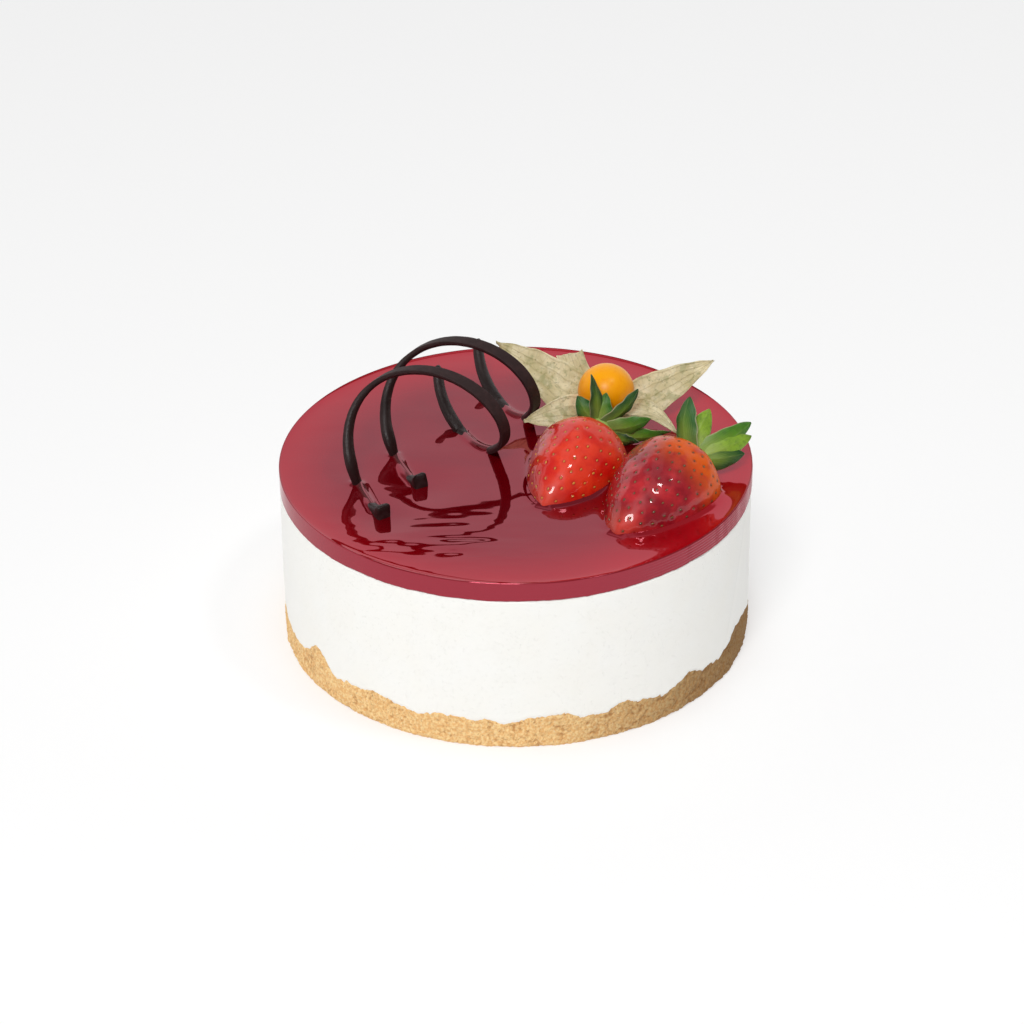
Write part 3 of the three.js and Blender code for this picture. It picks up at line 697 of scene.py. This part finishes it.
def sepal(around, raised, reach, width, roll, light, phase):
    """One sepal in the frame of the fruit's top: a line from root to tip, bowed by a sine, cupped by v²,
    waved along its edges and folded along its middle rib."""
    spread = level(np.radians(around))
    root = SEPAL_ROOT * spread
    tip = reach * (np.cos(np.radians(raised)) * spread + np.sin(np.radians(raised)) * UP)
    direction = (tip - root) / np.linalg.norm(tip - root)
    facing = turned(-np.cross(level(np.radians(around) + np.pi / 2), direction), direction, roll)
    sideways = np.cross(direction, facing)

    def middle(t, v):
        half = width / 2 * leaf_width(t, 0.5, 0.02, 0.5, 0.75)
        arc = np.sin(np.pi * t)
        rib = 0.28 * bell(v, 0.12) + 0.05 * np.cos(9 * np.pi * v) * (1 - np.abs(v))
        edge_wave = 0.35 * np.abs(v) ** 3 * np.sin(19 * t + 2 * phase)
        lift = SEPAL_CUP * half * v**2 + SEPAL_WAVE * v * np.sin(6 * t + phase) - SEPAL_BOW * reach * arc
        lift = lift - rib * np.sqrt(np.clip(1 - t, 0, 1)) + edge_wave * arc
        line = root + t[..., None] * (tip - root)
        return line + (half * v)[..., None] * sideways + lift[..., None] * facing

    points, faces, uv = leaf_skin(middle, LEAF_ROWS, LEAF_COLUMNS, SEPAL_THICKNESS)
    return points, faces, uv, np.full(len(points), light)


def turned_body(outline, count):
    """A body of revolution about z from its outline of radii and heights, climbing from end to end. It has
    one position along it and one lightness, so that it can be joined to leaves."""
    outline = np.array(outline)
    ring = level(full_turn(count))
    rings = outline[1:-1, 0, None, None] * ring + outline[1:-1, 1, None, None] * UP
    points, faces = ring_stack(rings, [0, 0, outline[0, 1]], [0, 0, outline[-1, 1]])
    return points, faces, np.full((len(points), 2), 0.1), np.full(len(points), 0.8)


def calyx_piece(name, berry):
    """The sepals of one fruit on their round cap with its stub of stalk, past the fruit's end."""
    leaves = [sepal(*row, phase) for phase, row in enumerate(SEPALS[name])]
    rise = np.linspace(-np.pi / 2, np.pi / 2, 12)
    cap = turned_body(np.stack([np.cos(rise), np.sin(rise)], -1) * CALYX_CAP, 40)
    radius, length = STALK
    stub_outline = [(0, 0), (radius, 0.1), (radius * 0.9, length * 0.6), (radius, length - 0.2)]
    stub_outline += [(radius * 0.7, length), (0, length - 0.3)]
    stub = turned_body(stub_outline, 20)
    points, faces, uv, light = joined([*leaves, cap, stub])
    directions, middle = berry_frame(berry)
    over, past = CALYX_MIDDLE
    points = points + [0, over, berry["length"] / 2 + past]
    points = points @ directions + middle
    shares = {"light": light}
    return add_piece(f"sepals_{name}", points, faces, f"calyx_{name}", uv=uv, shares=shares)


calyx_pieces = [calyx_piece(name, berry) for name, berry in BERRIES.items()]

material, place = start_finish("sepal_green")
along = place.node("UVMap", {"uv_map": "along"}, {})
t = along.part(0)
v = along.part(1) * 2 - 1
from_rib = abs(v)
# Painted light and shade: each sepal's green, and its pale root, follow the lightness listed for it.
light = place.attribute("light")
greens = [(0, (16, 50, 24)), (0.3, (34, 94, 38)), (0.6, (80, 138, 16)), (1, (150, 182, 52))]
green = light.node("ValToRGB", {"stops": [(at, paint(*tone)) for at, tone in greens]}, {0: light})
# Painted light: a yellow-green glow down the middle towards the root, for light shining through the leaf.
glowing_middle = (1 - from_rib.rises(0.15, 0.8)) * (1 - t.rises(0.3, 0.9))
root_pale = (1 - t.rises(0.05, 0.6)) * (light * 0.6 + 0.2)
rib = 1 - from_rib.rises(0.03, 0.1)
veins = v.math("SINE", (from_rib * 14 - t * 9) * 3, 0).rises(0.7, 1) * 0.18
green = layered(green, [
    (place.mottle(2.5, 3).rises(0.4, 0.75) * 0.4, (60, 98, 24)),
    (place.mottle(1.3, 3).rises(0.45, 0.7) * 0.35, (30, 76, 26)),
    (glowing_middle * 0.5, (136, 166, 40)),
    (root_pale, (170, 186, 110)),
    (rib * 0.12, (160, 176, 96)),
    (veins, (168, 186, 110)),
    (from_rib.rises(0.9, 0.99) * 0.6, (196, 186, 148)),
])
leaf_grain = (place.mottle(0.6) * 0.5 + veins * 2).relief(0.12)
inputs = {"Base Color": green, "Roughness": 0.42, "Normal": leaf_grain, "Specular IOR Level": 0.3}
finish_piece(calyx_pieces, material, place.node("BsdfPrincipled", {}, inputs))

# The cape gooseberry: a round orange fruit with a tight waxy skin, which shows its seeds faintly.
GOOSEBERRY_CENTRE = np.array([31.2, 26, JELLY_TOP + 12])
GOOSEBERRY_RADIUS = 9.7
GOOSEBERRY_SQUASH = 0.97
GOOSEBERRY_SPECK = (37.6, 21.4, 82.2)  # a brown spot on its skin
GOOSEBERRY_COLUMNS = 120
GOOSEBERRY_ROWS = 70

rise = np.linspace(-np.pi / 2, np.pi / 2, GOOSEBERRY_ROWS)[1:-1, None, None]
ring = level(full_turn(GOOSEBERRY_COLUMNS))
rings = GOOSEBERRY_RADIUS * (np.cos(rise) * ring + np.sin(rise) * UP) * [1, 1, GOOSEBERRY_SQUASH]
rings = rings * (1 + 0.012 * noise(rings, 8, 71))[..., None]
pole = np.array([0, 0, GOOSEBERRY_RADIUS * GOOSEBERRY_SQUASH])
points, faces = ring_stack(rings, -pole, pole)
gooseberry = add_piece("cape_gooseberry", points + GOOSEBERRY_CENTRE, faces, "gooseberry")

material, place = start_finish("gooseberry_skin")
height = place.part(2) - GOOSEBERRY_CENTRE[2]
speck = 1 - place.away_from(GOOSEBERRY_SPECK).rises(0.25, 0.5)
orange = layered(paint(226, 118, 0), [
    # Painted light and shade: the orange is lighter towards the top and darker underneath.
    (height.rises(-9, 9), (254, 168, 2)),
    (place.mottle(1.6).rises(0.5, 0.7) * 0.35, (244, 144, 0)),
    (speck, (150, 84, 10)),
])
inputs = {"Base Color": orange, "Roughness": 0.34, "Specular IOR Level": 0.24}
inputs |= {"Subsurface Weight": 0.15, "Subsurface Radius": (1, 0.5, 0.1), "Subsurface Scale": 2 * MM}
finish_piece([gooseberry], material, place.node("BsdfPrincipled", {}, inputs))

# The husk: the gooseberry's papery lantern, torn open and bent back into lobes. It is as thin as
# tissue, dry and creased, with a net of veins.
HUSK_LOBES = [  # bearing, reach, rise, width, roll, arch, blunt tip's share of the width
    (153, 42, 19.5, 20, -38, 1.5, 0.05),
    (125, 21.5, 15, 18, 0, -2, 0.6),
    (200, 30, 4.4, 16, -38, 2, 0.1),
    (19, 39.5, 15, 17.5, 38, 0.5, 0.05),
    (-36, 30, 3, 11, 10, 6.5, 0.08),
]
HUSK_FOOT = np.array([*GOOSEBERRY_CENTRE[:2], JELLY_TOP])
HUSK_THICKNESS = 0.35
HUSK_CUP = 0.22  # as a share of a lobe's half width
HUSK_WAVE = 0.6
HUSK_SEAT = (6, 2.6)  # radius and height
HUSK_ROWS = 90
HUSK_COLUMNS = 56


def husk_lobe(bearing, reach, rise, width, roll, arch, tip_share, number):
    """One lobe in the frame of the fruit's foot on the jelly: out by reach times t, up by rise times t to
    the 1.3 and an arch, cupped by v², creased by noise and raised along five ribs."""
    outwards = level(np.radians(bearing))
    facing = turned(UP, outwards, roll)
    sideways = np.cross(outwards, facing)

    def middle(t, v):
        half = width / 2 * leaf_width(t, 0.4, tip_share, 0.4, 0.9)
        height = HUSK_SEAT[1] / 2 + rise * np.maximum(0, t) ** 1.3 + arch * np.sin(np.pi * t)
        lift = HUSK_CUP * half * v**2 + HUSK_WAVE * t * np.sin(7 * t + 2.4 * v + 1.7 * number)
        ribs = 0.14 * bell(v * 2.2 - np.round(v * 2.2), 0.12) * (1 - 0.5 * t)
        flat = np.stack([reach * t, half * v, np.full_like(t, 40.0 * number)], -1)
        crease = 0.7 * np.abs(noise(flat, 7, 81)) + 0.3 * np.abs(noise(flat, 3.2, 82))
        crease = crease + 0.05 * noise(flat, 1.2, 83)
        ragged = 0.35 * noise(flat * [1, 0, 1], 4.5, 84) * np.abs(v) ** 3
        lift = lift + ribs + crease * smooth_step(t, 0.05, 0.3)
        return (
            HUSK_FOOT
            + height[..., None] * UP
            + (reach * t)[..., None] * outwards
            + (half * v + ragged * np.sign(v))[..., None] * sideways
            + lift[..., None] * facing
        )

    return leaf_skin(middle, HUSK_ROWS, HUSK_COLUMNS, HUSK_THICKNESS)


lobes = [husk_lobe(*row, number) for number, row in enumerate(HUSK_LOBES)]
seat_radius, seat_height = HUSK_SEAT
seat_outline = [(0, 0.3), (seat_radius - 0.4, 0.3), (seat_radius, 0.8), (seat_radius, seat_height - 0.3)]
seat_outline += [(seat_radius - 0.5, seat_height + 0.2), (0, seat_height + 0.3)]
points, faces, uv, _ = turned_body(seat_outline, 60)
points, faces, uv = joined([*lobes, (points + HUSK_FOOT, faces, uv)])
husk = add_piece("husk", points, faces, "gooseberry_husk", uv=uv)

material, place = start_finish("dry_husk")
along = place.node("UVMap", {"uv_map": "along"}, {})
v = along.part(1) * 2 - 1
wander = (place.mottle(5) - 0.5) * 0.5
rib = 1 - v.math("PINGPONG", v * 2.2 + wander, 0.5).rises(0.02, 0.09)
net = place.node("TexVoronoi", {"feature": "DISTANCE_TO_EDGE"}, {"Vector": place, "Scale": 1 / 3.4})
vein = 1 - net.rises(0, 0.06)
paper = layered(paint(248, 238, 202), [
    (place.mottle(7, 3).rises(0.35, 0.68), (218, 206, 158)),
    (place.mottle(2.2, 3).rises(0.5, 0.75) * 0.5, (250, 244, 218)),
    (place.mottle(3.6, 4).rises(0.52, 0.66) * 0.5, (166, 168, 112)),
    (place.mottle(0.9, 3).rises(0.6, 0.7) * 0.4, (132, 128, 74)),
    (vein * 0.12, (150, 138, 88)),
    (rib * 0.25, (176, 164, 108)),
])
crumple = (vein * 0.2 + rib * 0.3 + place.mottle(1.6, 3) * 0.6 + place.mottle(5) * 1.6).relief(0.3)
inputs = {"Base Color": paper, "Roughness": 0.7, "Normal": crumple}
sheet = place.node("BsdfPrincipled", {}, inputs)
glow = place.node("BsdfTranslucent", {}, {"Color": paper})
finish_piece([husk], material, place.node("MixShader", {}, {0: 0.3, 1: sheet, 2: glow}))

# The jelly: strawberry jelly set over the filling, wet and mirror smooth. It climbs at the ring's liner,
# at the strawberry halves and over the ribbons that lie in it, and it wrinkled a little where the
# toppings were pressed in.
JELLY_UNDERSIDE = FILLING_TOP + 0.05
JELLY_CORE = 3  # the flat underside's ring stands this far inside the cake's radius
RIM_RISE = 0.6
RIM_ROUNDING = 0.35
MENISCUS = 1.5  # how fast the climb at the rim fades
SIDE_LINES = (-18, 1.05, 0.13)  # the bearing of faint level lines at the side, their spacing, and depth
JELLY_COLUMNS = 480
SIDE_ROWS = 36
JELLY_ROWS = 138
EDGE_ROWS = 20  # closer ones, in the outermost band of the top
EDGE_BAND = 6
FRUIT_CLIMB = (1.0, 1.3)  # height of the jelly's climb at a fruit, and how fast it fades
RIBBON_CLIMB = (0.9, 1.6)  # its height over a ribbon, and its half width
RIBBON_MOUND = (0.25, 7)  # and those of the low swell round it
START_HOLLOW = (1.2, 12)  # depth and half width where the jelly gave way under a ribbon's start
RIBBON_POINTS = 61
FILM_HALF_WIDTH = 1.3  # of the thin jelly over a ribbon
WRINKLED = np.array([[-30, -56, 0], [26, 13, 1]])  # the middle and half widths of the wrinkled place
# The jelly's red is painted darker round this place and lighter towards the rim: painted shade over the
# middle.
DARKEST = (-6, -4, 0)  # the place round which the jelly is darkest


def berry_distance(berry, points):
    """Distance from points on the jelly to a half's cut edge, nearly: off its outline at that share."""
    directions, middle = berry_frame(berry)
    own = (points - middle) @ directions.T
    share = 0.5 - own[..., 2] / berry["length"]
    inside = np.clip(share, 0.02, 0.98)
    beyond = (share - inside) * berry["length"]
    off = np.maximum(0, np.abs(own[..., 0]) - berry_radius(berry, inside))
    return np.hypot(off, beyond)


def dip_line(curl, middle, half):
    """Points along the ribbon where it lies in the jelly, in plan."""
    span = np.linspace(middle - half, middle + half, RIBBON_POINTS) + curl["turns"][0]
    return curl_middle(curl, np.radians(span))[0] * [1, 1, 0]


def line_distance(points, line):
    """Distance from points to the nearest of a line's points."""
    return np.sqrt(np.min([((points - p) ** 2).sum(-1) for p in line], axis=0))


dip_lines = [dip_line(curl, middle, half) for curl in CURLS.values() for middle, half, _ in DIPS]


def jelly_height(place):
    """Height of the jelly's surface over its mean: climbs that fade as exp(-d) from the rim and the
    fruits, a bell on a low swell over each ribbon that lies in it, hollows at the ribbons' starts, long
    waves and wrinkles."""
    inset = CAKE_RADIUS - np.hypot(place[..., 0], place[..., 1])
    height = RIM_RISE * np.exp(-np.maximum(inset, 0) / MENISCUS)
    for berry in BERRIES.values():
        reach = berry_distance(berry, place + [0, 0, JELLY_TOP])
        height = height + FRUIT_CLIMB[0] * np.exp(-reach / FRUIT_CLIMB[1])
    for line in dip_lines:
        away = line_distance(place, line)
        for climb, width in (RIBBON_CLIMB, RIBBON_MOUND):
            height = height + climb * bell(away, width)
    for curl in CURLS.values():
        away = np.linalg.norm(place - dip_line(curl, 0, 0)[0], axis=-1)
        height = height - START_HOLLOW[0] * bell(away, START_HOLLOW[1])
    calm = smooth_step(inset, 0.5, 8)
    waves = 0.08 * noise(place * [1, 1.6, 1], 26, 91) + 0.02 * noise(place * [1, 1.4, 1], 11, 92)
    troubled = bell(place - WRINKLED[0], WRINKLED[1]).prod(-1) + 0.12
    wrinkles = 0.2 * noise(place * [0.4, 1.6, 1], 8, 93) + 0.07 * noise(place * [0.5, 1.6, 1], 3.4, 94)
    return height + calm * (waves + troubled * wrinkles)


def film_share(place):
    """How nearly a ribbon lies under the jelly: exp(-(d / w) to the 4) of the distance from its dips."""
    away = np.min([line_distance(place, line) for line in dip_lines], axis=0)
    return np.exp(-((away / FILM_HALF_WIDTH) ** 4))


angle = full_turn(JELLY_COLUMNS)
around = CAKE_RADIUS * level(angle)
notch = 0.22 * noise(around, 3.5, 95) + 0.15 * noise(around, 1.2, 96)
low = JELLY_UNDERSIDE + 0.15 + notch
rim_top = JELLY_TOP + RIM_RISE
share = np.linspace(0, 1, SIDE_ROWS)[:, None]
height = low + share * (rim_top - RIM_ROUNDING - low)
bearing, spacing, depth = SIDE_LINES
lines = np.sin(height * TURN / spacing) * smooth_step(np.cos(angle - np.radians(bearing)), 0.6, 0.95)
lines = lines * (0.6 + 0.4 * noise(around, 1.6, 97))
side = on_ring(CAKE_RADIUS + depth * lines + 0.06 * noise(around, 14, 98), angle, height)
turn = np.linspace(0, np.pi / 2, 6)[1:-1, None]
rim_radius = CAKE_RADIUS - RIM_ROUNDING * (1 - np.cos(turn))
rim = on_ring(rim_radius, angle, rim_top - RIM_ROUNDING * (1 - np.sin(turn)))
fine = np.linspace(RIM_ROUNDING, EDGE_BAND, EDGE_ROWS, endpoint=False)
coarse = np.linspace(EDGE_BAND, CAKE_RADIUS - 0.4, JELLY_ROWS)
flat = on_ring(CAKE_RADIUS - np.concatenate([fine, coarse])[:, None], angle, 0)
top = flat + (JELLY_TOP + jelly_height(flat))[..., None] * UP
base = on_ring(CAKE_RADIUS - JELLY_CORE, angle, JELLY_UNDERSIDE)
rings = np.concatenate([[base], side, rim, top])
centre = np.zeros((1, 3))
summit = [0, 0, JELLY_TOP + jelly_height(centre)[0]]
points, faces = ring_stack(rings, [0, 0, JELLY_UNDERSIDE], summit)
film = film_share(points * [1, 1, 0]) * (points[:, 2] > JELLY_TOP - 1)
jelly = add_piece("jelly", points, faces, "strawberry_jelly", shares={"film": film})

material, place = start_finish("strawberry_jelly")
flat_place = place.node("Mapping", {}, {"Vector": place, "Scale": (1, 1, 0)})
from_axis = flat_place.away_from((0, 0, 0))
red = layered(paint(94, 0, 8), [
    # Painted shade over the middle of the jelly, and painted light towards the rim.
    (flat_place.away_from(DARKEST).rises(48, 82), (162, 1, 12)),
    (place.mottle(22).rises(0.4, 0.7) * 0.2, (124, 0, 10)),
    (from_axis.rises(CAKE_RADIUS - 0.7, CAKE_RADIUS - 0.2), (120, 8, 18)),
    # Chocolate showing under thin jelly over a ribbon, lightened to pinkish grey as a painted highlight.
    (place.attribute("film") * 0.85, (88, 58, 58)),
])
inputs = {"Base Color": red, "Roughness": 0.03, "IOR": 2.0, "Specular IOR Level": 0.95}
inputs["Specular Tint"] = (1, 0.2, 0.28, 1)
finish_piece([jelly], material, place.node("BsdfPrincipled", {}, inputs))

# The studio: a pale floor, pale walls behind and to the left of the cake, and a long strip of light on
# the dim ceiling. A large soft light stands in front and a small one at the right, and the camera looks
# down on the cake from the front.
CAMERA_TARGET = np.array([-1.36, 0, 42.4])
CAMERA_DISTANCE = 1194.4
CAMERA_ELEVATION = 30.9
CAMERA_ROLL = -0.42
CAMERA_LENS = 123.05
FLOOR_HALF = 6000
KEY_LIGHT = {"bearing": -102, "elevation": 52, "distance": 1700, "size": 520, "radiance": 17.2}
SIDE_LIGHT = {"bearing": -22, "elevation": 67, "distance": 1700, "size": 210, "radiance": 26}
ROOM_LIGHT = 0.22
WALL_LIGHT = 0.66  # of the pale walls behind and to the left, over that of the room
GLOW_LIGHT = 0.28  # of the screen round the key light
STRIP_LIGHT = 0.35  # of a long strip over the cake, from front to back
FLOOR_GLOW = 0.49


def skyward(bearing, elevation):
    """A unit vector with its bearing from +X and its elevation in degrees."""
    rise = np.radians(elevation)
    return on_ring(np.cos(rise), np.radians(bearing), np.sin(rise))


def add_light(name, bearing, elevation, distance, size, radiance):
    """A square area light that looks at the cake's middle. Its power is radiance times its area and pi."""
    light = bpy.data.lights.new(name, "AREA")
    light.size = size * MM
    light.energy = radiance * np.pi * (size * MM) ** 2
    way = skyward(bearing, elevation)
    lamp = new_object(name, light)
    lamp.location = Vector((CAMERA_TARGET + distance * way) * MM)
    lamp.rotation_euler = Vector(way).to_track_quat("Z", "Y").to_euler()


corners = np.array([(-1, -1, 0), (1, -1, 0), (1, 1, 0), (-1, 1, 0)]) * FLOOR_HALF
floor_mesh = bpy.data.meshes.new("floor")
floor_mesh.from_pydata((corners * MM).tolist(), [], [[0, 1, 2, 3]])
floor = new_object("floor", floor_mesh)
material, place = start_finish("floor_white")
inputs = {"Base Color": (0.5, 0.5, 0.5, 1), "Roughness": 0.8, "Specular IOR Level": 0.2}
inputs |= {"Emission Color": (1, 1, 1, 1), "Emission Strength": FLOOR_GLOW}
finish_piece([floor], material, place.node("BsdfPrincipled", {}, inputs))

add_light("key_light", **KEY_LIGHT)
add_light("side_light", **SIDE_LIGHT)

world = bpy.data.worlds.new("studio")
world.use_nodes = True
world.node_tree.nodes.clear()
direction = Wire(world.node_tree.nodes.new("ShaderNodeTexCoord").outputs["Generated"])
east, north, upward = [direction.part(axis) for axis in range(3)]
wall = (north - east * 0.5).rises(0, 0.3) * (1 - upward.rises(0.67, 0.71))
to_key = skyward(KEY_LIGHT["bearing"], KEY_LIGHT["elevation"]).tolist()
glow = direction.node("VectorMath", {"operation": "DOT_PRODUCT"}, {0: direction, 1: to_key}, output=1)
strip = 1 - abs(east).rises(0.12, 0.22)
overhead = strip * (north + 1).rises(0.12, 0.3) * upward.rises(0.72, 0.78)
brightness = ROOM_LIGHT + wall * WALL_LIGHT + glow.rises(0.79, 0.93) * GLOW_LIGHT
brightness = brightness + overhead * STRIP_LIGHT
background = direction.node("Background", {}, {"Color": (1, 1, 1, 1), "Strength": brightness})
direction.node("OutputWorld", {}, {"Surface": background})
bpy.context.scene.world = world
bpy.context.scene.view_settings.view_transform = "Standard"

lens = bpy.data.cameras.new("camera")
lens.lens = CAMERA_LENS
lens.sensor_width = 36
camera = new_object("camera", lens)
camera.matrix_world = (
    Matrix.Translation((CAMERA_TARGET + CAMERA_DISTANCE * skyward(-90, CAMERA_ELEVATION)) * MM)
    @ Matrix.Rotation(np.radians(90 - CAMERA_ELEVATION), 4, "X")
    @ Matrix.Rotation(np.radians(CAMERA_ROLL), 4, "Z")
)
bpy.context.scene.camera = camera
